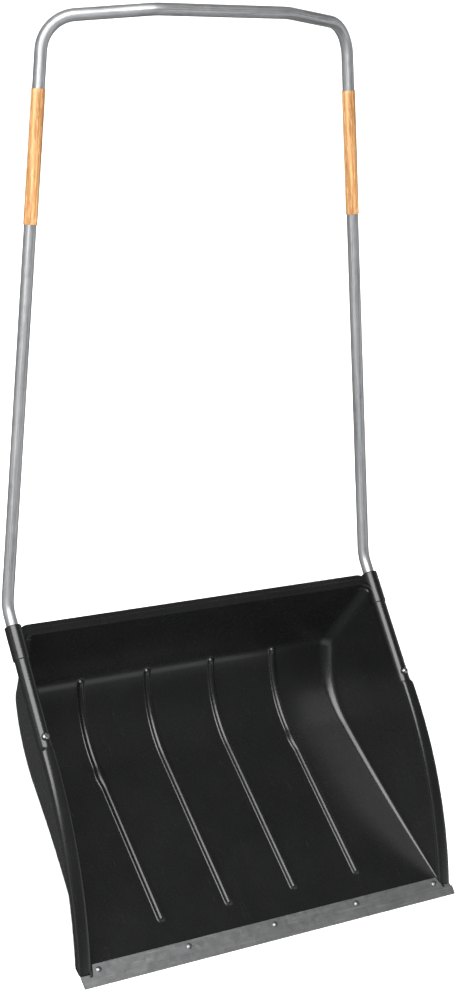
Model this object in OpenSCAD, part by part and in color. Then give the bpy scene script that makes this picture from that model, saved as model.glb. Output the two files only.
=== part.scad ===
// Sleigh-type snow shovel: a wide plastic scoop pushed with a two-handed tube handle.
// Origin: middle of the scoop's flat sole, on the ground. +X right, -Y forward, +Z up.

/* [Scoop] */
// Width over the two side rims
scoop_w = 774; // [700:1:820]
// Sheet thickness of the moulded scoop
sheet_t = 4; // [3:0.5:5]
// Length of the flat sole, front edge to the start of the sweep
sole_len = 360; // [330:5:400]
// Inner radius of the sweep from sole to back wall
sweep_r = 200; // [180:5:220]
// Inner radius of the bend below the back wall
bend_r = 35; // [25:1:45]
// Lean of the back wall from the ground
back_angle = 82.5; // [76:0.5:88]
// Height of the back rim above the ground
rim_z = 218; // [200:1:235]
// Depth of the back rim, front to back
back_rim_d = 24; // [18:1:30]
// Radius of the back rim's two rear corners
back_rim_r = 22; // [10:1:23]
// Width of the side rims
side_rim_w = 23; // [20:1:26]
// Depth of the skirt that hangs from each rim
skirt_h = 13; // [8:1:18]
// Inward lean of the side walls, in mm for each mm down from the rim
wall_draft = 0.196; // [0.1:0.01:0.25]
// Radius of the side rim's curve down to the front corner
rim_curve_r = 740; // [700:5:800]

/* [Ribs] */
// Distance between neighbouring floor ribs
rib_pitch = 136; // [110:1:140]
// Radius of the half-round ribs
rib_r = 7; // [5:0.5:9]
// Gap from the sole's front edge to the ribs
rib_gap = 70; // [50:1:100]
// Radius of the locating bump on each outer rib
bump_r = 8; // [7.5:0.5:10]

/* [Handle] */
// Outside diameter of the handle tube
tube_d = 21; // [20:0.5:22]
// Wall of the handle tube
tube_t = 1.5; // [1:0.1:2]
// Slope of the tube where it lies in the sockets
socket_angle = 15.1; // [13:0.1:17]
// Distance between the tube ends, centre to centre
foot_span = 746; // [740:1:748]
// Distance between the legs at the crossbar corners
top_span = 604; // [560:1:640]
// Height of the crossbar corners above the ground
corner_z = 934; // [880:1:980]
// Distance of the crossbar corners behind the origin
corner_y = 1066; // [1020:1:1120]
// Length of the straight middle of the crossbar
bar_len = 260; // [240:1:280]
// Height of the crossbar's middle above its corners
bar_rise = 57; // [40:1:70]
// Distance of the crossbar's middle in front of its corners
bar_forward = 38; // [25:1:50]
// Centreline radius of the tube's bends
tube_bend_r = 61; // [50:1:65]

/* [Grips] */
// Length of each grip sleeve
grip_len = 218; // [180:1:240]
// Distance from the crossbar corner to the grip
grip_start = 113; // [95:1:130]
// Wall of the grip sleeve
grip_t = 1.2; // [0.8:0.1:2]

/* [Steel edge] */
// Sheet thickness of the folded steel edge
edge_t = 1.2; // [1:0.1:1.5]
// How far the fold reaches in front of the plastic
nose_len = 16; // [12:1:20]
// Width of the flanges riveted to the sole
flange_w = 21; // [18:1:26]
// Distance between neighbouring rivets
rivet_pitch = 175; // [165:1:178]
// Diameter of the rivet heads
rivet_head_d = 11; // [9:0.5:13]

/* [Hidden] */
$fn = 96;
eps = 0.01;
black = "#1f2022";
galvanised = "#a9adb0";
orange = "#e2a763";
zinc = "#c9ccce";

// Sole and back wall, as seen along X
sole_front = -175;                      // front edge of the plastic
sole_back = sole_front + sole_len;      // where the sweep starts
sweep_end = 44;                         // slope of the sheet where the sweep meets the bend
sweep_c = [sole_back, sheet_t + sweep_r];
bend_c = sweep_c + (sweep_r - bend_r) * [sin(sweep_end), -cos(sweep_end)];
bend_out = bend_c + bend_r * [sin(back_angle), -cos(back_angle)];
back_rise = rim_z - bend_out[1];
back_len = back_rise / sin(back_angle);
back_top = bend_out[0] + back_rise / tan(back_angle);

// Ribs
rib_sink = 1;                           // the ribs' centre lies this far below the floor's face
rib_foot = 1.2;                         // and their foot this far below their centre
rib_top = sweep_end + 14;               // slope of the bend where the ribs end
bump_ahead = 14;                        // from the bumps back to the start of the sweep

// Side rims: a straight stretch over the tube, then an arc to the front corner
rim_half = scoop_w / 2;
rim_turn_y = 135;                       // where the straight stretch meets the arc
rim_turn_z = 167.4;
rim_c = [rim_turn_y + rim_curve_r * sin(socket_angle), rim_turn_z - rim_curve_r * cos(socket_angle)];
rim_end_slope = acos((sheet_t - rim_c[1]) / rim_curve_r);   // slope where the rim's top meets the sole
wall_in = rim_half - side_rim_w;        // inner face of the wall at the rim
wall_depth = 260;                       // reach of the wall profile below the rim, past the sole
bowl_over = 60;                         // reach of the bowl's outline above the rim
back_rim_inset = 4;                     // from the side walls' inner faces to the back rim's ends
lip = 1;                                // lip of the back rim over the inside of the bowl
past_corner = 4;                        // degrees that the rim's arc runs on past the front corner
rims_back_y = 365;                      // where the side rims end, over the back rim
bowl_back_y = 430;                      // reach of the bowl's outline behind the back wall
foot_proud = 0.6;                       // the floor stands this far outside the walls
lap = 2;                                // neighbouring lengths of rim, tube or rib run this far into each other
swell = 0.05;                           // and one of the two is this much fuller, so that they join cleanly

// Sockets for the tube
fit_gap = 0.3;
socket_wall = 3.7;
socket_r = tube_d / 2 + fit_gap + socket_wall;
socket_x = foot_span / 2;
socket_drop = socket_r / cos(socket_angle);
socket_top_y = 375;                     // mouth of the socket
ring_len = 58;                          // closed ring at the mouth, open hood in front of it
tube_end_y = 172;                       // where the tube stops inside the hood
hood_end_y = 164;
end_gap = 3;                            // from the tube's end to the hood's closed front
slot_inset = 2;                         // the hood's open underside is this much narrower on each side
screw_y = 185;
screw_d = 5;
screw_gap = 0.2;
thread_gap = 0.05;
screw_tail = 1.5;                       // thread showing past the nut
head_bevel = 1;
nut_w = 8;
nut_h = 5;
washer_d = 11;
washer_t = 1;
screw_head_d = 9;
screw_head_h = 3.2;

// Steel edge
tip_y = sole_front - nose_len;
flange_back = sole_front + flange_w;
rivet_y = sole_front + flange_w / 2;
rivet_d = 5;
rivet_gap = 0.1;
rivet_tail_d = 7.4;
rivet_head_rise = 2.2;
edge_half = rim_half - 2;               // ends just inside the rims
flange_gap = 1;                         // from the upper flange to the side walls
flange_trim = 2;                        // the upper flange is this much shorter at each rear corner
seat_gap = 0.3;                         // from the plastic's front edge to the nose
fold_len = 5;                           // solid part of the nose, in front of the wedge
tail_rise = 0.05;                       // rivet tails end this far above the ground

function axis_z(y) = rim_turn_z + (y - rim_turn_y) * tan(socket_angle) - socket_drop;
function unit(v) = v / norm(v);

// Lays an outline drawn in Y and Z across the part, from x0 over width w
module across(x0, w) translate([x0, 0, 0]) rotate([90, 0, 90]) linear_extrude(w) children();

// Turns an outline drawn as [radius, x] about an X axis through c = [y, z]
module turn(c, from, sweep) translate([0, c[0], c[1]]) rotate([90, 0, 90]) rotate([0, 0, from])
    rotate_extrude(angle = sweep, $fn = 180) children();

module both_sides() { children(); mirror([1, 0, 0]) children(); }

// ---- scoop ----

// Outline of a side wall and its rim: x against depth below the rim's top
module wall_outline(more) {
    foot = wall_in - wall_draft * wall_depth;
    polygon([
        [wall_in - more, -more], [rim_half + more, -more],
        [rim_half + more, skirt_h + more], [rim_half - sheet_t - more, skirt_h + more],
        [rim_half - sheet_t - more, sheet_t + more], [wall_in + sheet_t + more, sheet_t + more],
        [foot + sheet_t + more, wall_depth], [foot - more, wall_depth]]);
}

// The space between the outer faces of the two side walls
module between_outline(more) {
    edge = wall_in + sheet_t + foot_proud + more;
    top = edge + wall_draft * bowl_over;
    foot = edge - wall_draft * wall_depth;
    polygon([[-top, -bowl_over], [top, -bowl_over], [foot, wall_depth], [-foot, wall_depth]]);
}

// Runs an outline [x, depth] along the rim's arc, to past the front corner
module along_arc() turn(rim_c, 90 + socket_angle, rim_end_slope - socket_angle + past_corner)
    translate([rim_curve_r, 0]) rotate(90) children();

// Runs an outline [x, depth] along the rim's straight stretch, to distance back_y
module along_line(back_y) translate([0, rim_turn_y, rim_turn_z]) rotate([socket_angle - 90, 0, 0])
    translate([0, 0, -lap]) linear_extrude((back_y - rim_turn_y) / cos(socket_angle) + lap) children();

module between_walls() {
    along_arc() between_outline(0);
    along_line(bowl_back_y) between_outline(swell);
}

module side_walls() both_sides() {
    along_arc() wall_outline(0);
    along_line(rims_back_y) wall_outline(swell);
}

// Inside of the bowl seen along X, down to the middle of the sheet
module bowl_section() {
    mid = sheet_t / 2;
    polygon(concat(
        [[sole_front, mid]],
        [for (i = [0 : 20]) let (a = sweep_end * i / 20)
            sweep_c + (sweep_r + mid) * [sin(a), -cos(a)]],
        [for (i = [1 : 12]) let (a = sweep_end + (back_angle - sweep_end) * i / 12)
            bend_c + (bend_r + mid) * [sin(a), -cos(a)]],
        [[back_top + mid, rim_z + bowl_over], [sole_front, rim_z + bowl_over]]));
}

// Floor, sweep, bend and back wall, wider than the bowl
module sheet() {
    w = scoop_w;
    across(-w / 2, w) translate([sole_front, 0]) square([sole_len + eps, sheet_t]);
    turn(sweep_c, 270, sweep_end + eps) translate([sweep_r, -w / 2]) square([sheet_t, w]);
    turn(bend_c, 270 + sweep_end, back_angle - sweep_end) translate([bend_r, -w / 2]) square([sheet_t, w]);
    across(-w / 2, w) translate(bend_out) rotate(back_angle) translate([-eps, -sheet_t])
        square([back_len, sheet_t]);
}

// One floor rib: straight along the sole, up the sweep and into the bend, with round ends.
// Its centre lies below the floor's face, and its foot stops inside the sheet.
module rib(x) {
    start = sole_front + rib_gap;
    back = asin(lap / bend_r);
    across_y(start, sole_back - start + lap) translate([x, sheet_t - rib_sink]) domed(rib_r);
    turn(sweep_c, 270, sweep_end) translate([sweep_r + rib_sink, x]) rotate(90) domed(rib_r + swell);
    turn(bend_c, 270 + sweep_end - back, rib_top - sweep_end + back) translate([bend_r + rib_sink, x])
        rotate(90) domed(rib_r + 2 * swell);
    translate([x, start, sheet_t - rib_sink]) rib_end(rib_r + 2 * swell);
    translate([x, bend_c[0], bend_c[1]] + (bend_r + rib_sink) * [0, sin(rib_top), -cos(rib_top)])
        rotate([rib_top, 0, 0]) rib_end(rib_r + 3 * swell);
}

// Lays an outline drawn in X and Z along Y, from y0 over length l
module across_y(y0, l) translate([0, y0, 0]) mirror([0, 1, 0]) rotate([90, 0, 0]) linear_extrude(l) children();

module domed(r) intersection() {
    circle(r, $fn = 48);
    translate([-r, -rib_foot]) square([2 * r, r + rib_foot]);
}

module rib_end(r) intersection() {
    rotate([90, 0, 0]) sphere(r, $fn = 48);
    translate([-r, -r, -rib_foot]) cube([2 * r, 2 * r, r + rib_foot]);
}

module bump(x) translate([x, sole_back - bump_ahead, sheet_t]) intersection() {
    sphere(bump_r, $fn = 48);
    translate([-bump_r, -bump_r, -2]) cube([2 * bump_r, 2 * bump_r, bump_r + 2]);
}

module ribs() {
    for (i = [-1.5 : 1 : 1.5]) rib(i * rib_pitch);
    for (s = [-1.5, 1.5]) bump(s * rib_pitch);
}

// Back rim: a flat lip with a skirt, rounded at its two rear corners.
// It overhangs the inside of the back wall by the sheet's thickness.
module back_rim() {
    half = wall_in - back_rim_inset;
    depth = back_rim_d + sheet_t;
    difference() {
        translate([0, back_top - sheet_t, rim_z - skirt_h]) linear_extrude(skirt_h) intersection() {
            translate([-half, 0]) square([2 * half, depth]);
            union() {
                translate([-half, 0]) square([2 * half, depth - back_rim_r]);
                translate([back_rim_r - half, 0]) square([2 * (half - back_rim_r), depth]);
                for (s = [-1, 1]) translate([s * (half - back_rim_r), depth - back_rim_r]) circle(back_rim_r);
            }
        }
        translate([sheet_t - half, back_top + eps, rim_z - skirt_h - 1])
            cube([2 * (half - sheet_t), back_rim_d - sheet_t, skirt_h - sheet_t + 1]);
        translate([-half - 1, back_top - sheet_t - 1, rim_z - skirt_h - 1])
            cube([2 * half + 2, 1 + lip, skirt_h - sheet_t + 1]);
    }
}

// Moves to the middle of a socket at distance y, with Z along the tube
module at_socket(y) translate([socket_x, y, axis_z(y)]) rotate([socket_angle - 90, 0, 0]) children();

module socket_shell() at_socket(hood_end_y)
    cylinder(r = socket_r, h = (socket_top_y - hood_end_y) / cos(socket_angle));

module socket_space() {
    front = tube_end_y - end_gap;
    at_socket(front)
        cylinder(r = tube_d / 2 + fit_gap, h = (socket_top_y + 2 * lap - front) / cos(socket_angle));
    // the hood is open below, in front of the ring
    slot = tube_d + 2 * (fit_gap - slot_inset);
    at_socket(front) translate([-slot / 2, 0, 0])
        cube([slot, socket_r + 2, (socket_top_y - ring_len - front) / cos(socket_angle)]);
}

// Straight down through the hood at the screw, square to the tube
module at_screw() at_socket(screw_y) rotate([90, 0, 0]) children();

module scoop() color(black) difference() {
    union() {
        intersection() {
            sheet();
            between_walls();
        }
        intersection() {
            side_walls();
            across(-scoop_w, 2 * scoop_w) bowl_section();
        }
        ribs();
        back_rim();
        both_sides() socket_shell();
    }
    both_sides() socket_space();
    both_sides() at_screw() cylinder(d = screw_d + 2 * screw_gap, h = 2 * socket_r, $fn = 32);
    // seat that brings the edge's lower flange flush with the sole
    translate([-rim_half - 1, sole_front - 1, -1]) cube([scoop_w + 2, 1 + flange_w + seat_gap, edge_t + 1]);
    for (i = [-2 : 2]) translate([i * rivet_pitch, rivet_y, -1])
        cylinder(d = rivet_d + 2 * rivet_gap, h = sheet_t + 2, $fn = 32);
}

// ---- steel edge ----

module wear_edge() color(galvanised) difference() {
    back = sole_front - seat_gap;
    union() {
        // lower flange, full width
        across(-edge_half, 2 * edge_half) translate([tip_y + edge_t, 0])
            square([nose_len + flange_w - edge_t, edge_t]);
        // folded nose: a closed wedge in front of the plastic
        across(-edge_half, 2 * edge_half) polygon([
            [tip_y + edge_t, 0], [back, 0], [back, edge_t], [tip_y + fold_len, edge_t],
            [back, sheet_t], [back, sheet_t + edge_t], [tip_y + edge_t, 2 * edge_t]]);
        across(-edge_half, 2 * edge_half) translate([tip_y + edge_t, edge_t]) circle(edge_t, $fn = 32);
        // upper flange, between the side walls
        translate([0, 0, sheet_t]) linear_extrude(edge_t) polygon([
            [-upper_half(sole_front), back - lap], [upper_half(sole_front), back - lap],
            [upper_half(flange_back), flange_back], [-upper_half(flange_back), flange_back]]);
    }
    for (i = [-2 : 2]) translate([i * rivet_pitch, rivet_y, 0]) {
        translate([0, 0, -1]) cylinder(d = rivet_d + 2 * rivet_gap, h = sheet_t + 4, $fn = 32);
        translate([0, 0, -eps]) cylinder(d1 = rivet_tail_d + 2 * rivet_gap, d2 = rivet_d + 2 * rivet_gap, h = edge_t, $fn = 32);
    }
}

// Half width of the upper flange at distance y: clear of the inner wall faces
function upper_half(y) = wall_in - flange_gap - wall_draft * (rim_top(y) - sheet_t) / cos(rim_end_slope)
    - (y > sole_front ? flange_trim : 0);
function rim_top(y) = rim_c[1] + sqrt(rim_curve_r * rim_curve_r - (y - rim_c[0]) * (y - rim_c[0]));

module edge_rivets() color(zinc) for (i = [-2 : 2]) translate([i * rivet_pitch, rivet_y, 0]) {
    rise = rivet_head_rise;
    ball = (rivet_head_d * rivet_head_d / 4 + rise * rise) / (2 * rise);
    translate([0, 0, tail_rise]) cylinder(d = rivet_d, h = sheet_t + edge_t + rise / 2, $fn = 32);
    translate([0, 0, tail_rise]) cylinder(d1 = rivet_tail_d, d2 = rivet_d, h = edge_t, $fn = 32);
    intersection() {
        translate([0, 0, sheet_t + edge_t + rise - ball]) sphere(ball);
        translate([0, 0, sheet_t + edge_t]) cylinder(d = rivet_head_d + 2, h = rise + 1);
    }
}

// ---- handle ----

foot = [socket_x, tube_end_y, axis_z(tube_end_y)];
corner = [top_span / 2, corner_y, corner_z];
bar = [bar_len / 2, corner_y - bar_forward, corner_z + bar_rise];
grip_gap = 0.05;
knee_y = 409;                           // where the leg meets the line of the socket
knee = [socket_x, knee_y, axis_z(knee_y)];
path = [foot, knee, corner, bar, [-bar[0], bar[1], bar[2]], [-corner[0], corner[1], corner[2]],
        [-knee[0], knee[1], knee[2]], [-foot[0], foot[1], foot[2]]];

// Length of tube taken up on each side of bend i
function setback(i) = let (u = unit(path[i - 1] - path[i]), v = unit(path[i + 1] - path[i]))
    tube_bend_r / tan(acos(u * v) / 2);
function cut(i) = i == 0 || i == len(path) - 1 ? 0 : setback(i);

// A rod of radius r that follows the path
module rod(r, over = 0) {
    for (i = [0 : len(path) - 2]) {
        d = unit(path[i + 1] - path[i]);
        a = path[i] + d * (cut(i) - (i == 0 ? over : lap));
        b = path[i + 1] - d * (cut(i + 1) - (i == len(path) - 2 ? over : lap));
        stand(a, d) cylinder(r = r, h = norm(b - a));
    }
    for (i = [1 : len(path) - 2]) {
        u = unit(path[i - 1] - path[i]);
        v = unit(path[i + 1] - path[i]);
        half = acos(u * v) / 2;
        x = -unit(u + v);
        z = unit(cross(u, v));
        y = cross(z, x);
        c = path[i] - x * tube_bend_r / sin(half);
        multmatrix([[x[0], y[0], z[0], c[0]], [x[1], y[1], z[1], c[1]], [x[2], y[2], z[2], c[2]], [0, 0, 0, 1]])
            rotate([0, 0, half - 90]) rotate_extrude(angle = 180 - 2 * half, $fn = 96) translate([tube_bend_r, 0]) circle(r + swell);
    }
}

// Stands its children on point a with Z along direction d
module stand(a, d) translate(a) rotate([0, acos(d[2]), atan2(d[1], d[0])]) children();

module handle_tube() color(galvanised) difference() {
    rod(tube_d / 2);
    rod(tube_d / 2 - tube_t, 1);
    both_sides() at_screw() translate([0, 0, -2 * socket_r])
        cylinder(d = screw_d + 2 * screw_gap, h = 4 * socket_r, $fn = 32);
}

module grip(side) {
    top = [side * corner[0], corner[1], corner[2]];
    d = unit([side * knee[0], knee[1], knee[2]] - top);
    color(orange) stand(top + d * grip_start, d) difference() {
        cylinder(d = tube_d + 2 * (grip_gap + grip_t), h = grip_len);
        translate([0, 0, -1]) cylinder(d = tube_d + 2 * grip_gap, h = grip_len + 2);
    }
}

module grip_left() grip(-1);
module grip_right() grip(1);

// ---- fasteners ----

washer_top = socket_r + washer_t;

module handle_screws() color(zinc) both_sides() at_screw() {
    side = screw_head_h - head_bevel;
    reach = tube_d / 2 + nut_h + screw_tail;
    translate([0, 0, washer_top]) cylinder(d = screw_head_d, h = side, $fn = 48);
    translate([0, 0, washer_top + side])
        cylinder(d1 = screw_head_d, d2 = screw_head_d - 2 * head_bevel, h = head_bevel, $fn = 48);
    translate([0, 0, -reach]) cylinder(d = screw_d, h = washer_top + reach + eps, $fn = 32);
}

module screw_washers() color(zinc) both_sides() at_screw() translate([0, 0, socket_r]) difference() {
    cylinder(d = washer_d, h = washer_t, $fn = 48);
    translate([0, 0, -1]) cylinder(d = screw_d + 2 * screw_gap, h = washer_t + 2, $fn = 32);
}

module lock_nuts() color(zinc) both_sides() at_screw() translate([0, 0, -tube_d / 2 - nut_h]) difference() {
    cylinder(d = nut_w / cos(30), h = nut_h, $fn = 6);
    translate([0, 0, -1]) cylinder(d = screw_d + 2 * thread_gap, h = nut_h + 2, $fn = 32);
}

scoop();
wear_edge();
edge_rivets();
handle_tube();
grip_left();
grip_right();
handle_screws();
screw_washers();
lock_nuts();
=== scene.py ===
# Sleigh-type snow shovel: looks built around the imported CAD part.
# Sizes are in mm and become metres in solid(). +X is to the right, -Y forwards to the steel edge, +Z up.
import math

import bmesh
import bpy
import numpy as np
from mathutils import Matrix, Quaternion, Vector


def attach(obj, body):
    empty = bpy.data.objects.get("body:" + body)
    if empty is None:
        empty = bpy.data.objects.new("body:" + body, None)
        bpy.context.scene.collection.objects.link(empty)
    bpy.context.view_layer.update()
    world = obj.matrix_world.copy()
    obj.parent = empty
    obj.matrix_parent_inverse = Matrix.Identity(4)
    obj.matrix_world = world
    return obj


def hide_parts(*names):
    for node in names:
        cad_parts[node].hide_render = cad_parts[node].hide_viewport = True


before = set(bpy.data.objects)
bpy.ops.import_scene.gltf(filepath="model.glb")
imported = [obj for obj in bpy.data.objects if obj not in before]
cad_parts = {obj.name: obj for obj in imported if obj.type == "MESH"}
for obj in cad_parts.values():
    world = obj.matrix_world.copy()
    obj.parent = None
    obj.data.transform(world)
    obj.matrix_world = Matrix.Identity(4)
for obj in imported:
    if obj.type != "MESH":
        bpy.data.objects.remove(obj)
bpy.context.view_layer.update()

MM = 0.001
rad, sin, cos = math.radians, math.sin, math.cos

# ---- driving sizes ----
RIM_HALF = 387.0  # outer faces of the side rims
WALL_IN = 364.0  # inner face of a side wall at the rim
WALL_DRAFT = 0.196  # inward lean, mm for each mm down from the rim
SHEET = 4.0
SOLE_FRONT, SOLE_LEN = -175.0, 360.0
SWEEP_R, SWEEP_END = 200.0, 44.0
BEND_R, BACK_LEAN = 35.0, 82.5
RIM_Z = 218.0  # height of the back rim
RIM_TURN = np.array([135.0, 167.4])  # y, z where the side rim's arc meets its straight stretch
RIM_ARC_R = 740.0
SLOPE = 15.1  # slope of the straight stretch and of the sockets
SKIRT = 13.0
BACK_PROUD, BACK_DEPTH, BACK_CORNER_R = 0.25, 24.0, 22.0  # back rim: past the wall's inside, behind it
RIM_BEAD, RIM_WALL = 7.5, 3.6  # height of a side rim's rounded top, and its wall
FILLET_R = (3, 8, 12, 15, 27, 34, 22)  # between floor and wall, from the front edge to the back wall's top
RIB_X = (-204.0, -68.0, 68.0, 204.0)
RIB_H, RIB_CREST, RIB_FOOT = 6.0, 6.2, 3.2  # height of a rib, radii of its crest and foot fillet
FLANK = rad(60.0)
FLANK_RUN = (RIB_H - (RIB_CREST + RIB_FOOT) * (1 - cos(FLANK))) / math.tan(FLANK)
RIB_W = (RIB_CREST + RIB_FOOT) * sin(FLANK) + FLANK_RUN  # half width of a rib
RIB_START = SOLE_FRONT + 70.0
RIB_TOP = 58.0  # slope of the bend where the ribs end
BUMP_Y, BUMP_L = 171.0, 24.0  # swelling of the outer ribs: middle and half length
BUMP_WIDER, BUMP_TALLER = 0.4, 0.08  # and how much the rib grows there

TUBE_R, TUBE_WALL = 10.5, 1.5
TUBE_BEND_R = 61.0
SOCKET_X, SOCKET_R, BORE_R = 373.0, 14.5, 10.8
HOOD_R = 13.2
HOOD_FRONT, HOOD_BACK, RING_FRONT, RING_BACK = 164.0, 365.0, 317.0, 375.0
SCREW_Y, SCREW_HOLE_R = 185.0, 2.7
SEAT_LEN, SEAT_DEPTH = 21.3, 1.2  # recess under the sole's front for the steel edge's lower leg
TUBE_END_Y, KNEE_Y = 172.0, 409.0
CORNER = np.array([302.0, 1066.0, 934.0])  # where the lines of a leg and of the bar's outer stretch meet
BAR = np.array([130.0, 1028.0, 991.0])  # where the bar's outer and middle stretches meet
GRIP_START, GRIP_LEN, GRIP_R = 113.0, 218.0, 11.75

SLOPE_T, SLOPE_S, SLOPE_C = math.tan(rad(SLOPE)), sin(rad(SLOPE)), cos(rad(SLOPE))
FLIP_X = np.array([-1, 1, 1])
RIM_C = RIM_TURN + RIM_ARC_R * np.array([SLOPE_S, -SLOPE_C])


def yz(angle, r):
    """From a centre of curvature to the point of the profile below it where the slope is angle degrees."""
    return r * np.array([sin(rad(angle)), -cos(rad(angle))])


SWEEP_C = np.array([SOLE_FRONT + SOLE_LEN, SHEET + SWEEP_R])
BEND_C = SWEEP_C + yz(SWEEP_END, SWEEP_R - BEND_R)
BEND_OUT = BEND_C + yz(BACK_LEAN, BEND_R)
S_SWEEP = SOLE_LEN
S_BEND = S_SWEEP + SWEEP_R * rad(SWEEP_END)
S_BACK = S_BEND + BEND_R * rad(BACK_LEAN - SWEEP_END)
S_TOP = S_BACK + (RIM_Z - BEND_OUT[1]) / sin(rad(BACK_LEAN))
BACK_TOP = BEND_OUT[0] + (RIM_Z - BEND_OUT[1]) / math.tan(rad(BACK_LEAN))


def profile(s):
    """Point (y, z) of the bowl's inside at length s from the front edge."""
    if s <= S_SWEEP:
        return np.array([SOLE_FRONT + s, SHEET])
    if s <= S_BEND:
        return SWEEP_C + yz(math.degrees((s - S_SWEEP) / SWEEP_R), SWEEP_R)
    if s <= S_BACK:
        return BEND_C + yz(SWEEP_END + math.degrees((s - S_BEND) / BEND_R), BEND_R)
    return BEND_OUT + (s - S_BACK) * np.array([cos(rad(BACK_LEAN)), sin(rad(BACK_LEAN))])


def rim_line(y):
    """Top of the side rim at distance y: (y, z) and the unit vector straight down into the wall."""
    if y >= RIM_TURN[0]:
        return np.array([y, RIM_TURN[1] + (y - RIM_TURN[0]) * SLOPE_T]), np.array([SLOPE_S, -SLOPE_C])
    a = math.asin((RIM_C[0] - y) / RIM_ARC_R)
    return RIM_C + RIM_ARC_R * np.array([-sin(a), cos(a)]), np.array([sin(a), -cos(a)])


def rim_depth(p):
    """Depth of the point p = (y, z) below the rim's top."""
    d = p - RIM_C
    if math.atan2(-d[0], d[1]) > rad(SLOPE):
        return RIM_ARC_R - math.hypot(*d)
    return float(np.dot(p - RIM_TURN, [SLOPE_S, -SLOPE_C]))


def wall_x(p):
    return WALL_IN - WALL_DRAFT * rim_depth(p)


def axis_z(y):
    return RIM_TURN[1] + (y - RIM_TURN[0]) * SLOPE_T - SOCKET_R / SLOPE_C


# ---- mesh helpers ----


def solid(name, verts, faces, uv=None):
    """A mesh object from points in mm."""
    me = bpy.data.meshes.new(name)
    me.from_pydata((np.asarray(verts) * MM).tolist(), [], [list(map(int, f)) for f in faces])
    if uv is not None:
        layer = me.uv_layers.new(name="run")
        for poly in me.polygons:
            for k, li in enumerate(poly.loop_indices):
                layer.data[li].uv = uv[poly.index][k]
    me.validate()
    ob = bpy.data.objects.new(name, me)
    bpy.context.scene.collection.objects.link(ob)
    return ob


def outward(ob):
    """Turns the faces outwards."""
    bm = bmesh.new()
    bm.from_mesh(ob.data)
    bmesh.ops.recalc_face_normals(bm, faces=bm.faces)
    bm.to_mesh(ob.data)
    bm.free()
    return ob


def lofted(name, loops, ring=False):
    """A closed solid through equal loops of points, capped at both ends, or closed on itself as a ring."""
    loops = np.asarray(loops)
    n, m = loops.shape[:2]
    faces = []
    for i in range(n if ring else n - 1):
        a, b = i * m, ((i + 1) % n) * m
        for j in range(m):
            k = (j + 1) % m
            faces.append((a + j, a + k, b + k, b + j))
    if not ring:
        faces += [list(range(m))[::-1], [(n - 1) * m + j for j in range(m)]]
    return outward(solid(name, loops.reshape(-1, 3), faces))


def shell(name, inner, outer):
    """A closed solid between two equal grids of points."""
    n, m = inner.shape[:2]
    size = n * m
    faces = []
    for i in range(n - 1):
        for j in range(m - 1):
            k = i * m + j
            quad = (k, k + 1, k + m + 1, k + m)
            faces.append(quad)
            faces.append(tuple(v + size for v in quad[::-1]))
    index = np.arange(size).reshape(n, m)
    edge = [*index[0], *index[1:, -1], *index[-1, -2::-1], *index[-2:0:-1, 0]]
    for a, b in zip(edge, edge[1:] + edge[:1]):
        faces.append((b, a, a + size, b + size))
    return outward(solid(name, np.concatenate([inner.reshape(-1, 3), outer.reshape(-1, 3)]), faces))


def cylinder(name, base, axis, radii, heights, sides=40):
    """A turned solid on axis from base: radii at heights."""
    base, axis = np.asarray(base), np.asarray(axis, float) / np.linalg.norm(axis)
    u = np.cross(axis, [1.0, 0.0, 0.0] if abs(axis[0]) < 0.9 else [0.0, 1.0, 0.0])
    u /= np.linalg.norm(u)
    v = np.cross(axis, u)
    t = np.linspace(0, 2 * math.pi, sides, endpoint=False)
    loops = [[base + axis * h + r * (cos(a) * u + sin(a) * v) for a in t] for r, h in zip(radii, heights)]
    return lofted(name, loops)


def box(name, lo, hi):
    """A block between two corners."""
    pts = [[x, y, z] for x in (lo[0], hi[0]) for y in (lo[1], hi[1]) for z in (lo[2], hi[2])]
    faces = [(0, 1, 3, 2), (4, 6, 7, 5), (0, 4, 5, 1), (2, 3, 7, 6), (0, 2, 6, 4), (1, 5, 7, 3)]
    return outward(solid(name, pts, faces))


def combine(ob, others, operation):
    """Joins the other closed solids to ob, or cuts them out of it, and removes them."""
    for other in others:
        mod = ob.modifiers.new("join", "BOOLEAN")
        mod.solver, mod.operation, mod.object = "MANIFOLD", operation, other
    dg = bpy.context.evaluated_depsgraph_get()
    me = bpy.data.meshes.new_from_object(ob.evaluated_get(dg))
    ob.modifiers.clear()
    ob.data = me
    for other in others:
        bpy.data.objects.remove(other)
    return ob


def smooth(ob, angle):
    """Smooth shading, with sharp edges where faces meet at more than angle degrees."""
    for poly in ob.data.polygons:
        poly.use_smooth = True
    ob.data.set_sharp_from_angle(angle=rad(angle))
    return ob


def mirrored(make, name):
    """The solid make(name, side) on both sides."""
    return [make(name + "_left", -1), make(name + "_right", 1)]


# ---- scoop ----


def rib_rise(d):
    """Height of a rib at distance d from its middle: round crest, straight flank, fillet at the foot."""
    if d < RIB_CREST * sin(FLANK):
        return RIB_H - RIB_CREST + math.sqrt(RIB_CREST**2 - d**2)
    if d < RIB_CREST * sin(FLANK) + FLANK_RUN:
        return RIB_H - RIB_CREST * (1 - cos(FLANK)) - (d - RIB_CREST * sin(FLANK)) * math.tan(FLANK)
    return RIB_FOOT - math.sqrt(RIB_FOOT**2 - (RIB_W - d) ** 2) if d < RIB_W else 0.0


RIB_FROM = RIB_START - SOLE_FRONT  # length from the front edge to where the ribs start
RIB_TO = S_BEND + BEND_R * rad(RIB_TOP - SWEEP_END)  # and to where they end
FILLET_AT = (0, 100, 200, S_SWEEP, S_BEND, S_BACK, S_TOP)
RIM_OVER_BEND, RIM_OVER_TOP = 214.0, 326.0  # y on the rim over the bend's end and over the back wall's top
RIM_TUCK, LEAST_WALL = 8.0, 0.6  # the wall ends this deep in the rim, and is never lower than this


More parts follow.
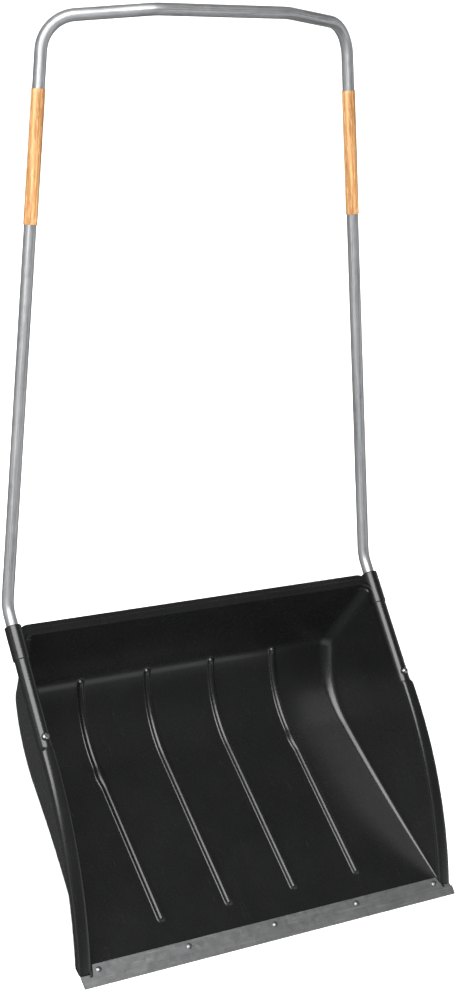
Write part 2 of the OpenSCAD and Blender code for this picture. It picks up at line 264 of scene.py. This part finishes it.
def stations_across():
    """x of the columns over the floor: close together on the ribs, wide apart between them."""
    reach = 1.5 * RIB_W
    columns = sorted({round(c + d, 4) for c in RIB_X for d in np.linspace(-reach, reach, 31)})
    for x in np.arange(-190, 191, 12.0):
        if min(abs(x - c) for c in RIB_X) > reach + 2:
            columns.append(x)
    return sorted(columns)


def stations_along():
    """Lengths of the rows from the front edge: close together at the ribs' ends and at the swellings."""
    rows = {*np.arange(0, S_SWEEP, 9.0), *np.arange(S_SWEEP, S_TOP, 5.0), S_TOP - 2.0}
    for end in (RIB_FROM, RIB_TO):
        rows |= {end + d for d in np.arange(-12, 12.1, 1.0)}
    rows |= {BUMP_Y - SOLE_FRONT + d for d in np.arange(-27, 27.1, 2.0)}
    rows = sorted(rows)
    return [s for before, s in zip([-1.0] + rows, rows) if s - before > 0.4]


def rib_height(x, s):
    """Height of the ribs over the sheet at x, at length s from the front edge."""
    past_end = max(RIB_FROM - s, s - RIB_TO, 0.0)
    near_bump = max(0.0, 1 - ((s + SOLE_FRONT - BUMP_Y) / BUMP_L) ** 2) ** 2
    height = 0.0
    for c in RIB_X:
        swell = near_bump if abs(c) == max(RIB_X) else 0.0
        rise = rib_rise(math.hypot(x - c, past_end) / (1 + BUMP_WIDER * swell))
        height = max(height, (1 + BUMP_TALLER * swell) * rise)
    return height


def half_section(s, x_from, side_steps=8, arc_steps=12, wall_steps=12):
    """The bowl's inside at length s, to the right of x_from: floor, fillet, then wall up into the rim."""
    p = profile(s)
    top, down = rim_line(np.interp(s, (0, S_BACK, S_TOP), (SOLE_FRONT, RIM_OVER_BEND, RIM_OVER_TOP)))
    w = top + RIM_TUCK * down
    if w[1] < p[1] + LEAST_WALL:
        w = np.array([p[0], p[1] + LEAST_WALL])
    corner, upper = np.array([wall_x(p), *p]), np.array([wall_x(w), *w])
    floorward, wallward = np.array([-1.0, 0, 0]), upper - corner
    wall_len = np.linalg.norm(wallward)
    wallward = wallward / wall_len
    theta = math.acos(float(np.dot(floorward, wallward)))
    r = min(np.interp(s, FILLET_AT, FILLET_R), 0.7 * wall_len * math.tan(theta / 2))
    tangent = r / math.tan(theta / 2)
    middle = (floorward + wallward) / np.linalg.norm(floorward + wallward)
    centre = corner + middle * r / sin(theta / 2)
    a0, a1 = corner + floorward * tangent - centre, corner + wallward * tangent - centre
    turn = math.acos(max(-1.0, min(1.0, float(np.dot(a0, a1)) / r**2)))
    section = [np.array([x, *p]) for x in np.linspace(x_from, corner[0] - tangent, side_steps + 1)[1:]]
    for k in range(1, arc_steps + 1):
        f = k / arc_steps
        section.append(centre + (sin((1 - f) * turn) * a0 + sin(f * turn) * a1) / sin(turn))
    start = section[-1]
    return section + [start + (upper - start) * k / wall_steps for k in range(1, wall_steps + 1)]


def bowl():
    """Floor, sweep, bend, back wall and side walls as one moulded sheet, with the ribs raised in it."""
    xs = stations_across()
    base, height = [], []
    for s in stations_along():
        half = half_section(s, xs[-1])
        middle = [np.array([x, *profile(s)]) for x in xs]
        base.append([q * FLIP_X for q in half[::-1]] + middle + half)
        flat = [0.0] * len(half)
        height.append(flat + [rib_height(x, s) for x in xs] + flat)
    base, height = np.array(base), np.array(height)
    normal = np.cross(np.gradient(base, axis=1), np.gradient(base, axis=0))
    normal /= np.linalg.norm(normal, axis=2, keepdims=True)
    return shell("bowl", base + normal * height[..., None], base - normal * SHEET)


def hood_share(y):
    """How far the side rim has become a hood at y, from 0 to 1."""
    t = np.clip((y - HOOD_FRONT + 6.0) / 9.0, 0, 1)
    return t * t * (3 - 2 * t)


def rim_outline(y, steps=28):
    """Outline of the side rim across its run at y: points (x, depth below its top)."""
    hood = hood_share(y)

    def mixed(plain, full):
        return plain + (full - plain) * hood

    mid_depth = mixed(RIM_BEAD, SOCKET_R)
    left = mixed(WALL_IN - WALL_DRAFT * mid_depth - 0.25, SOCKET_X - HOOD_R)
    right = mixed(RIM_HALF, SOCKET_X + HOOD_R)
    xm, a, b = (left + right) / 2, (right - left) / 2, mixed(RIM_BEAD, HOOD_R)
    squareness = mixed(2.6 + 0.8 * np.clip((HOOD_FRONT - y) / 120, 0, 1), 2.0)
    wall, skirt = mixed(RIM_WALL, HOOD_R - BORE_R), mixed(SKIRT, SKIRT + 4.0)
    inset = WALL_IN - WALL_DRAFT * (mid_depth + 1.5)
    inset_out, inset_in = inset + 0.9, inset + 3.3

    def arch(aa, bb, k):
        x = xm + aa * math.copysign(abs(cos(k)) ** (2 / squareness), cos(k))
        return x, mid_depth - bb * abs(sin(k)) ** (2 / squareness)

    turns = [math.pi * (1 - i / steps) for i in range(steps + 1)]
    pts = [(inset_out, mid_depth + 9), (inset_out, mid_depth + 2.2), (left, mid_depth + 1.2)]
    pts += [arch(a, b, k) for k in turns]
    pts += [(right, skirt - 0.8), (right - 0.8, skirt)]
    pts += [(right - wall + 0.5, skirt), (right - wall, skirt - 0.5)]
    pts += [arch(a - wall, b - wall, k) for k in turns[::-1]]
    return pts + [(inset_in, mid_depth + 2.2), (inset_in, mid_depth + 9)]


def side_rim(name, side):
    """The rolled rim of a side wall, which becomes a hood over the tube."""
    plain = np.arange(SOLE_FRONT - 9.0, RIM_TURN[0], 7.0)
    growing = np.linspace(HOOD_FRONT - 14.0, HOOD_FRONT + 14.0, 15)
    ys = {*plain, *growing, *np.arange(HOOD_FRONT + 21.0, HOOD_BACK, 12.0), HOOD_BACK}
    loops = []
    for y in sorted(ys):
        top, down = rim_line(y)
        loops.append([[side * x, *(top + d * down)] for x, d in rim_outline(y)])
    return lofted(name, loops)


def along_socket(side, y):
    """The point at y on the middle line of the left or right socket."""
    return np.array([side * SOCKET_X, y, axis_z(y)])


SOCKET_DIR = np.array([0.0, SLOPE_C, SLOPE_S])
SOCKET_UP = np.array([0.0, -SLOPE_S, SLOPE_C])


def socket_ring(name, side, sides=48):
    """The thicker ring at the socket's mouth, with eased edges."""
    length = (RING_BACK - RING_FRONT) / SLOPE_C
    rings = [(SOCKET_R - 1.3, 0), (SOCKET_R - 0.5, 0.3), (SOCKET_R, 1.2), (SOCKET_R, 2.0)]
    rings += [(SOCKET_R, length - 2.4), (SOCKET_R, length - 1.6)]
    rings += [(SOCKET_R - 0.5, length - 0.5), (SOCKET_R - 1.6, length)]
    rings += [(BORE_R + 0.5, length), (BORE_R, length - 0.8), (BORE_R, length - 2.0), (BORE_R, 0)]
    start, right = along_socket(side, RING_FRONT), np.array([1.0, 0, 0])
    loops = []
    for a in np.linspace(0, 2 * math.pi, sides, endpoint=False):
        out = cos(a) * right + sin(a) * SOCKET_UP
        loops.append([start + SOCKET_DIR * h + out * r for r, h in rings])
    return lofted(name, loops, ring=True)


def screw_boss(name, side):
    """The low round pad on the hood, under the screw's head."""
    at = along_socket(side, SCREW_Y)
    return cylinder(name, at, SOCKET_UP, (7.6, 7.2, 6.7, 6.2), (BORE_R + 0.4, 13.6, 14.2, 14.45))


def back_rim_plan():
    """The back rim from above, left to right: inner point, outer point and outward direction."""
    y_in, y_out = BACK_TOP - BACK_PROUD, BACK_TOP + BACK_DEPTH
    x_in, x_out = WALL_IN - BACK_CORNER_R - 0.5, SOCKET_X - 29.0
    plan = {-1: [], 1: []}
    for side, half in plan.items():
        for x in np.linspace(20, x_in - 20, 9):
            half.append((np.array([side * x, y_in]), np.array([side * x, y_out]), np.array([0.0, 1.0])))
        for degrees in range(0, 91, 7):
            n = np.array([side * sin(rad(degrees)), cos(rad(degrees))])
            inside = np.array([side * x_in, y_in - BACK_CORNER_R]) + BACK_CORNER_R * n
            outside = np.array([side * x_out, y_out - BACK_CORNER_R]) + BACK_CORNER_R * n
            half.append((inside, outside, n))
    return plan[-1][::-1] + plan[1]


def back_rim(name):
    """The back rim's lip: flat top in two levels, rounded edges and a skirt, turned forwards at both ends."""
    inner_r, outer_r, wall, root = 2.4, 3.4, 3.5, 11.0
    step_in, step_drop = 10.5, 1.1
    loops = []
    for inside, outside, n in back_rim_plan():
        pts = [(inside, -root), (inside, -inner_r)]
        for a in (20, 45, 70, 90):
            pts.append((inside + n * inner_r * (1 - cos(rad(a))), -inner_r * (1 - sin(rad(a)))))
        pts += [(outside - n * (step_in + 1.4), 0.0), (outside - n * (step_in + 0.6), -0.15)]
        pts += [(outside - n * (step_in - 0.2), 0.1 - step_drop), (outside - n * (step_in - 0.9), -step_drop)]
        for a in (0, 25, 50, 75, 90):
            drop = step_drop + outer_r * (1 - cos(rad(a)))
            pts.append((outside - n * outer_r * (1 - sin(rad(a))), -drop))
        pts += [(outside, 0.7 - SKIRT), (outside - n * 0.7, -SKIRT), (outside - n * (wall - 0.6), -SKIRT)]
        pts += [(outside - n * wall, 0.6 - SKIRT), (outside - n * wall, -5.4), (outside - n * 5.0, -4.4)]
        pts += [(inside + n * 5.0, -4.2), (inside + n * 3.6, -5.4), (inside + n * 3.6, -root)]
        loops.append([[q[0], q[1], RIM_Z + dz] for q, dz in pts])
    return lofted(name, loops)


def make_scoop():
    ob = bowl()
    combine(ob, mirrored(side_rim, "side_rim"), "UNION")
    combine(ob, [back_rim("back_rim")], "UNION")
    combine(ob, mirrored(socket_ring, "ring") + mirrored(screw_boss, "boss"), "UNION")
    past = RIM_HALF + 2
    bores, holes = [], []
    for side in (-1, 1):
        start = along_socket(side, TUBE_END_Y - 3)
        bores.append(cylinder("bore", start, SOCKET_DIR, (BORE_R, BORE_R), (0, 240), 48))
        at = along_socket(side, SCREW_Y)
        holes.append(cylinder("hole", at, SOCKET_UP, (SCREW_HOLE_R, SCREW_HOLE_R), (0, 40), 24))
    seat = box("seat", (-past, SOLE_FRONT - 2, -2), (past, SOLE_FRONT + SEAT_LEN, SEAT_DEPTH))
    combine(ob, bores, "DIFFERENCE")
    combine(ob, [box("keep", (-past, SOLE_FRONT, 0), (past, RING_BACK + 45, RIM_Z + 42))], "INTERSECT")
    combine(ob, [seat] + holes, "DIFFERENCE")
    ob.name = "Scoop_Body"
    return smooth(ob, 38)


# ---- handle ----


def straight_run(start, end, step=40.0, clear=20.0):
    """Points a step apart on the way from start to end, none of them closer to the end than clear."""
    gap = np.linalg.norm(end - start)
    return [start + (end - start) * k * step / gap for k in range(1, int((gap - clear) / step) + 1)]


def handle_path():
    """The tube's centreline: points, filleted at every corner, as a dense list."""
    half = [along_socket(1, TUBE_END_Y), along_socket(1, KNEE_Y), CORNER, BAR]
    pts = half + [p * FLIP_X for p in half[::-1]]
    out = [pts[0]]
    for before, p, after in zip(pts, pts[1:], pts[2:]):
        u, v = (before - p) / np.linalg.norm(before - p), (after - p) / np.linalg.norm(after - p)
        half_angle = math.acos(float(np.dot(u, v))) / 2
        back = TUBE_BEND_R / math.tan(half_angle)
        centre = p + (u + v) / np.linalg.norm(u + v) * TUBE_BEND_R / sin(half_angle)
        a0, a1 = p + u * back - centre, p + v * back - centre
        turn = math.pi - 2 * half_angle
        out += straight_run(out[-1], centre + a0)
        steps = max(4, int(turn * TUBE_BEND_R / 5))
        for f in np.linspace(0, 1, steps + 1):
            out.append(centre + (sin((1 - f) * turn) * a0 + sin(f * turn) * a1) / sin(turn))
    out += straight_run(out[-1], pts[-1])
    return np.array(out + [pts[-1]])


def carried_frames(path):
    """Unit tangent and two normals at each point, carried along without twist."""
    t = np.gradient(path, axis=0)
    t /= np.linalg.norm(t, axis=1, keepdims=True)
    n = np.cross(t[0], [1.0, 0, 0])
    n /= np.linalg.norm(n)
    ns = []
    for ti in t:
        n = n - ti * np.dot(n, ti)
        n = n / np.linalg.norm(n)
        ns.append(n)
    ns = np.array(ns)
    return t, ns, np.cross(t, ns)


def swept(name, path, ring_list, sides=40):
    """A hollow rod through rings of (index on the path, radius, push along it), closed into a loop."""
    t, n1, n2 = carried_frames(path)
    length = np.concatenate([[0], np.cumsum(np.linalg.norm(np.diff(path, axis=0), axis=1))])
    rings = []
    for i, r, push in ring_list:
        c = path[i] + t[i] * push
        a = np.linspace(0, 2 * math.pi, sides, endpoint=False)
        rings.append((c + r * (np.cos(a)[:, None] * n1[i] + np.sin(a)[:, None] * n2[i]), length[i] + push))
    verts = np.concatenate([q for q, _ in rings])
    faces, uv = [], []
    count = len(rings)
    for i in range(count):
        k = (i + 1) % count
        v0, v1 = rings[i][1] * MM, rings[k][1] * MM
        for j in range(sides):
            m = (j + 1) % sides
            faces.append((i * sides + j, i * sides + m, k * sides + m, k * sides + j))
            u0, u1 = j / sides, (j + 1) / sides
            uv.append(((u0, v0), (u1, v0), (u1, v1), (u0, v1)))
    return solid(name, verts, faces, uv)


def make_tube():
    path = handle_path()
    last = len(path) - 1
    rings = [(0, TUBE_R - 0.5, 0), (0, TUBE_R, 0.5)]
    rings += [(i, TUBE_R, 0) for i in range(1, last)]
    rings += [(last, TUBE_R, -0.5), (last, TUBE_R - 0.5, 0)]
    rings += [(last, TUBE_R - TUBE_WALL, 0)]
    rings += [(i, TUBE_R - TUBE_WALL, 0) for i in range(last - 1, 0, -1)]
    rings += [(0, TUBE_R - TUBE_WALL, 0)]
    return smooth(swept("Handle_Tube", path, rings), 40)


def make_grip(name, side):
    top = CORNER * np.array([side, 1, 1])
    knee = along_socket(side, KNEE_Y)
    d = (knee - top) / np.linalg.norm(knee - top)
    n = 24
    path = np.array([top + d * (GRIP_START + GRIP_LEN * i / n) for i in range(n + 1)])
    inner = TUBE_R + 0.05
    rings = [(0, inner, 0), (0, GRIP_R - 0.45, 0), (0, GRIP_R - 0.12, 0.15), (0, GRIP_R, 0.5)]
    rings += [(i, GRIP_R, 0) for i in range(1, n)]
    rings += [(n, GRIP_R, -0.5), (n, GRIP_R - 0.12, -0.15), (n, GRIP_R - 0.45, 0), (n, inner, 0)]
    rings += [(i, inner, 0) for i in range(n - 1, 0, -4)]
    return smooth(swept(name, path, rings, 56), 40)


# ---- materials ----


class Shader:
    """A material and short ways to add nodes to it."""

    def __init__(self, name, metallic, roughness, level=0.5):
        self.mat = bpy.data.materials.new(name)
        self.mat.use_nodes = True
        self.tree = self.mat.node_tree
        self.bsdf = self.tree.nodes["Principled BSDF"]
        self.bsdf.inputs["Metallic"].default_value = metallic
        self.bsdf.inputs["Roughness"].default_value = roughness
        self.bsdf.inputs["Specular IOR Level"].default_value = level
        self.coord = self.node("ShaderNodeTexCoord")

    def node(self, kind, **values):
        n = self.tree.nodes.new(kind)
        for key, value in values.items():
            n.inputs[key].default_value = value
        return n

    def link(self, a, b):
        self.tree.links.new(a, b)

    def place(self, scale, source="Object"):
        m = self.node("ShaderNodeMapping")
        m.inputs["Scale"].default_value = scale
        self.link(self.coord.outputs[source], m.inputs["Vector"])
        return m.outputs["Vector"]

    def noise(self, scale, detail=3.0, rough=0.5, vector=None, warp=0.0):
        n = self.node("ShaderNodeTexNoise", Scale=scale, Detail=detail, Roughness=rough, Distortion=warp)
        self.link(vector or self.coord.outputs["Object"], n.inputs["Vector"])
        return n.outputs["Fac"]

    def cells(self, scale, vector=None):
        """A random color for each cell."""
        n = self.node("ShaderNodeTexVoronoi", Scale=scale)
        self.link(vector or self.coord.outputs["Object"], n.inputs["Vector"])
        return n.outputs["Color"]

    def span(self, fac, lo, hi, to_lo=0.0, to_hi=1.0):
        n = self.node("ShaderNodeMapRange")
        n.interpolation_type = "SMOOTHSTEP"
        for key, value in zip(("From Min", "From Max", "To Min", "To Max"), (lo, hi, to_lo, to_hi)):
            n.inputs[key].default_value = value
        self.link(fac, n.inputs["Value"])
        return n.outputs["Result"]

    def math(self, op, a, b):
        n = self.node("ShaderNodeMath")
        n.operation = op
        for i, v in enumerate((a, b)):
            if isinstance(v, (int, float)):
                n.inputs[i].default_value = v
            else:
                self.link(v, n.inputs[i])
        return n.outputs[0]

    def blend(self, fac, a, b):
        n = self.node("ShaderNodeMix")
        n.data_type = "RGBA"
        self.link(fac, n.inputs[0])
        for i, v in ((6, a), (7, b)):
            if isinstance(v, tuple):
                n.inputs[i].default_value = (*v, 1.0)
            else:
                self.link(v, n.inputs[i])
        return n.outputs[2]

    def bump(self, height, strength, distance, after=None):
        n = self.node("ShaderNodeBump", Strength=strength, Distance=distance)
        self.link(height, n.inputs["Height"])
        if after is not None:
            self.link(after, n.inputs["Normal"])
        return n.outputs["Normal"]

    def wire(self, color=None, rough=None, normal=None):
        for key, value in (("Base Color", color), ("Roughness", rough), ("Normal", normal)):
            if value is not None:
                self.link(value, self.bsdf.inputs[key])
        return self.mat


def plastic():
    s = Shader("Moulded_Plastic", 0.0, 0.25, 0.5)
    cloudy = s.noise(7.0, 4.0, 0.55)
    base = s.blend(s.span(cloudy, 0.35, 0.7), (0.0040, 0.0041, 0.0043), (0.0050, 0.0051, 0.0053))
    scuff_a = s.span(s.noise(9.0, 5.0, 0.62, s.place((26.0, 2.2, 5.0)), 0.4), 0.63, 0.74)
    scuff_b = s.span(s.noise(11.0, 5.0, 0.6, s.place((5.0, 30.0, 6.0)), 0.5), 0.66, 0.78)
    scuffs = s.math("MAXIMUM", scuff_a, scuff_b)
    dust = s.span(s.noise(900.0, 2.0, 0.5), 0.66, 0.78)
    color = s.blend(s.math("MULTIPLY", scuffs, 0.14), base, (0.03, 0.03, 0.031))
    color = s.blend(s.math("MULTIPLY", dust, 0.12), color, (0.07, 0.07, 0.07))
    rough = s.span(s.noise(24.0, 4.0, 0.6), 0.3, 0.7, 0.26, 0.285)
    rough = s.math("ADD", rough, s.math("MULTIPLY", scuffs, 0.10))
    grain = s.bump(s.noise(1400.0, 2.0, 0.5), 0.10, 0.0001)
    waves = s.bump(s.noise(14.0, 2.0, 0.4), 0.045, 0.003, grain)
    return s.wire(color, rough, s.bump(scuffs, 0.03, 0.0003, waves))


def tube_metal():
    s = Shader("Galvanised_Tube", 0.8, 0.4)
    s.bsdf.inputs["Specular Tint"].default_value = (0.3, 0.3, 0.3, 1.0)
    streak = s.noise(1.0, 5.0, 0.65, s.place((34.0, 5.0, 1.0), "UV"), 0.3)
    fine = s.noise(1.0, 4.0, 0.6, s.place((90.0, 26.0, 1.0), "UV"))
    spangle = s.cells(1.0, s.place((6.0, 95.0, 1.0), "UV"))
    patchy = s.noise(1.0, 5.0, 0.6, s.place((5.0, 16.0, 1.0), "UV"), 0.6)
    grey = s.blend(s.span(streak, 0.3, 0.7), (0.15, 0.153, 0.157), (0.36, 0.363, 0.367))
    grey = s.blend(s.math("MULTIPLY", s.span(fine, 0.45, 0.75), 0.4), grey, (0.52, 0.52, 0.52))
    grey = s.blend(s.math("MULTIPLY", s.span(patchy, 0.52, 0.72), 0.5), grey, (0.13, 0.133, 0.137))
    tint = s.node("ShaderNodeSeparateColor")
    s.link(spangle, tint.inputs[0])
    grey = s.blend(s.math("MULTIPLY", tint.outputs[0], 0.14), grey, (0.4, 0.41, 0.42))
    rough = s.math("ADD", s.span(streak, 0.3, 0.7, 0.44, 0.32), s.math("MULTIPLY", tint.outputs[1], 0.08))
    relief = s.bump(streak, 0.16, 0.0004)
    return s.wire(grey, rough, s.bump(fine, 0.12, 0.0002, relief))


def sheet_metal():
    s = Shader("Galvanised_Sheet", 0.9, 0.36)
    scratch = s.span(s.noise(1.0, 5.0, 0.65, s.place((14.0, 320.0, 320.0)), 0.15), 0.52, 0.72)
    cross = s.span(s.noise(1.0, 5.0, 0.65, s.place((300.0, 30.0, 60.0)), 0.25), 0.58, 0.74)
    spangle = s.node("ShaderNodeSeparateColor")
    s.link(s.cells(120.0), spangle.inputs[0])
    stain = s.noise(22.0, 5.0, 0.6)
    grey = s.blend(spangle.outputs[0], (0.28, 0.283, 0.286), (0.33, 0.333, 0.336))
    grey = s.blend(s.math("MULTIPLY", s.span(stain, 0.45, 0.7), 0.3), grey, (0.13, 0.132, 0.135))
    grey = s.blend(s.math("MULTIPLY", scratch, 0.6), grey, (0.5, 0.5, 0.5))
    grey = s.blend(s.math("MULTIPLY", cross, 0.4), grey, (0.10, 0.10, 0.102))
    rough = s.math("ADD", s.span(spangle.outputs[1], 0.0, 1.0, 0.32, 0.38), s.math("MULTIPLY", stain, 0.08))
    relief = s.bump(scratch, 0.22, 0.0003)
    return s.wire(grey, rough, s.bump(s.noise(60.0, 3.0, 0.5), 0.14, 0.0008, relief))


def grip_skin():
    s = Shader("Grip_Sleeve", 0.0, 0.5, 0.4)
    strands = s.noise(1.0, 5.0, 0.62, s.place((11.0, 5.0, 1.0), "UV"), 0.4)
    mottle = s.noise(1.0, 5.0, 0.6, s.place((30.0, 55.0, 1.0), "UV"), 0.8)
    flecks = s.span(s.noise(1.0, 3.0, 0.6, s.place((26.0, 190.0, 1.0), "UV"), 0.6), 0.60, 0.72)
    color = s.blend(s.span(strands, 0.38, 0.62), (0.16, 0.068, 0.017), (0.36, 0.195, 0.078))
    color = s.blend(s.math("MULTIPLY", s.span(mottle, 0.46, 0.64), 0.4), color, (0.42, 0.27, 0.14))
    color = s.blend(s.math("MULTIPLY", flecks, 0.6), color, (0.20, 0.085, 0.020))
    rough = s.span(mottle, 0.3, 0.7, 0.42, 0.58)
    relief = s.bump(strands, 0.25, 0.0005)
    return s.wire(color, rough, s.bump(s.noise(900.0, 2.0, 0.5), 0.15, 0.0002, relief))


def zinc(name, light, dark, roughness):
    s = Shader(name, 1.0, roughness)
    worn = s.noise(260.0, 4.0, 0.6)
    turned = s.noise(1.0, 3.0, 0.6, s.place((900.0, 900.0, 200.0)))
    color = s.blend(s.span(worn, 0.35, 0.68), dark, light)
    rough = s.span(worn, 0.3, 0.7, roughness + 0.08, roughness - 0.06)
    return s.wire(color, rough, s.bump(turned, 0.12, 0.0001))


def floor_paint():
    s = Shader("Studio_Floor", 0.0, 0.75, 0.2)
    s.bsdf.inputs["Base Color"].default_value = (0.86, 0.86, 0.855, 1.0)
    return s.mat


# ---- assembly ----


def paint(ob, mat):
    ob.data.materials.clear()
    ob.data.materials.append(mat)


def add_piece(ob, mat, node):
    paint(ob, mat)
    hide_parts(node)
    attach(ob, "root")


def repaint(node, mat):
    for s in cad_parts[node].material_slots:
        s.link = "OBJECT"
        s.material = mat


add_piece(make_scoop(), plastic(), "scoop")
add_piece(make_tube(), tube_metal(), "handle_tube")
grip_mat = grip_skin()
add_piece(make_grip("Grip_Left", -1), grip_mat, "grip_left")
add_piece(make_grip("Grip_Right", 1), grip_mat, "grip_right")
repaint("wear_edge", sheet_metal())
repaint("edge_rivets", zinc("Rivet_Zinc", (0.34, 0.34, 0.345), (0.17, 0.17, 0.175), 0.46))
screw_mat = zinc("Screw_Zinc", (0.66, 0.66, 0.67), (0.36, 0.36, 0.37), 0.28)
for node in ("handle_screws", "screw_washers", "lock_nuts"):
    repaint(node, screw_mat)

# ---- studio ----


def area_light(name, place, target, size, power, glossy=True):
    data = bpy.data.lights.new(name, "AREA")
    data.shape, data.size, data.size_y = "RECTANGLE", size[0], size[1]
    data.energy = power
    ob = bpy.data.objects.new(name, data)
    ob.location = place
    ob.rotation_mode = "QUATERNION"
    ob.rotation_quaternion = (Vector(target) - Vector(place)).to_track_quat("-Z", "Y")
    ob.visible_glossy, ob.visible_camera = glossy, False
    bpy.context.scene.collection.objects.link(ob)


# The room: bright low down in front, darker above, behind and below; the camera itself sees a plain pale wall
world = bpy.data.worlds.new("Studio")
bpy.context.scene.world = world
world.use_nodes = True
tree = world.node_tree
sky = tree.nodes["Background"]
sky.inputs["Color"].default_value = (0.97, 0.98, 1.0, 1.0)


def ramp(source, lo, hi, to_lo, to_hi):
    """A soft step of the source, from to_lo below lo to to_hi above hi."""
    n = tree.nodes.new("ShaderNodeMapRange")
    n.interpolation_type = "SMOOTHSTEP"
    for key, value in (("From Min", lo), ("From Max", hi), ("To Min", to_lo), ("To Max", to_hi)):
        n.inputs[key].default_value = value
    tree.links.new(source, n.inputs["Value"])
    return n.outputs["Result"]


def both(a, b):
    """The product of two sockets."""
    n = tree.nodes.new("ShaderNodeMath")
    n.operation = "MULTIPLY"
    tree.links.new(a, n.inputs[0])
    tree.links.new(b, n.inputs[1])
    return n.outputs[0]


FLOOR_R, FLOOR_SIDES = 40000.0, 96
turns = np.linspace(0, 2 * math.pi, FLOOR_SIDES, endpoint=False)
floor = solid("Floor", [(FLOOR_R * cos(a), FLOOR_R * sin(a), 0) for a in turns], [range(FLOOR_SIDES)])
paint(floor, floor_paint())
floor.visible_glossy = False

area_light("Overhead", (-1.65, 0.45, 3.1), (-0.3, 0.45, 0), (2.3, 3.4), 215)
area_light("Key", (-2.9, -0.6, 1.3), (0.2, 0.2, 0.1), (1.4, 1.4), 100, glossy=False)
area_light("Front", (-0.9, -3.3, 1.1), (0.0, 0.3, 0.2), (1.8, 1.0), 60, glossy=False)
area_light("Side", (3.1, -0.5, 1.3), (-0.2, 0.1, 0.0), (1.4, 1.4), 30, glossy=False)

wash = bpy.data.objects.new("Wash", bpy.data.lights.new("Wash", "SUN"))
wash.data.energy, wash.data.angle = 3.0, rad(70)
wash.visible_glossy = False
bpy.context.scene.collection.objects.link(wash)

way = tree.nodes.new("ShaderNodeTexCoord")
split = tree.nodes.new("ShaderNodeSeparateXYZ")
tree.links.new(way.outputs["Generated"], split.inputs[0])
below = ramp(split.outputs["Z"], -0.12, 0.0, 0.28, 1.0)
low_down = ramp(split.outputs["Z"], 0.2, 0.5, 1.15, 0.08)
in_front = ramp(split.outputs["Y"], -0.3, 0.6, 1.0, 0.4)
room = both(both(below, low_down), in_front)
seen = tree.nodes.new("ShaderNodeMix")
seen.inputs[3].default_value = 0.95
tree.links.new(tree.nodes.new("ShaderNodeLightPath").outputs["Is Camera Ray"], seen.inputs[0])
tree.links.new(room, seen.inputs[2])
tree.links.new(seen.outputs[0], sky.inputs["Strength"])

VIEW_AZ, VIEW_EL, VIEW_ROLL = rad(49.75), rad(44.85), rad(32.91)  # the camera's direction and roll
cam = bpy.data.objects.new("Camera", bpy.data.cameras.new("Camera"))
cam.data.lens = 75.68
cam.data.clip_end = 60
cam.location = (-1.9508, -1.2058, 2.9587)
cam.rotation_mode = "QUATERNION"
look = Vector((sin(VIEW_AZ) * cos(VIEW_EL), cos(VIEW_AZ) * cos(VIEW_EL), -sin(VIEW_EL)))
cam.rotation_quaternion = look.to_track_quat("-Z", "Y") @ Quaternion((0, 0, 1), VIEW_ROLL)
bpy.context.scene.collection.objects.link(cam)
bpy.context.scene.camera = cam
bpy.context.scene.view_settings.view_transform = "Standard"
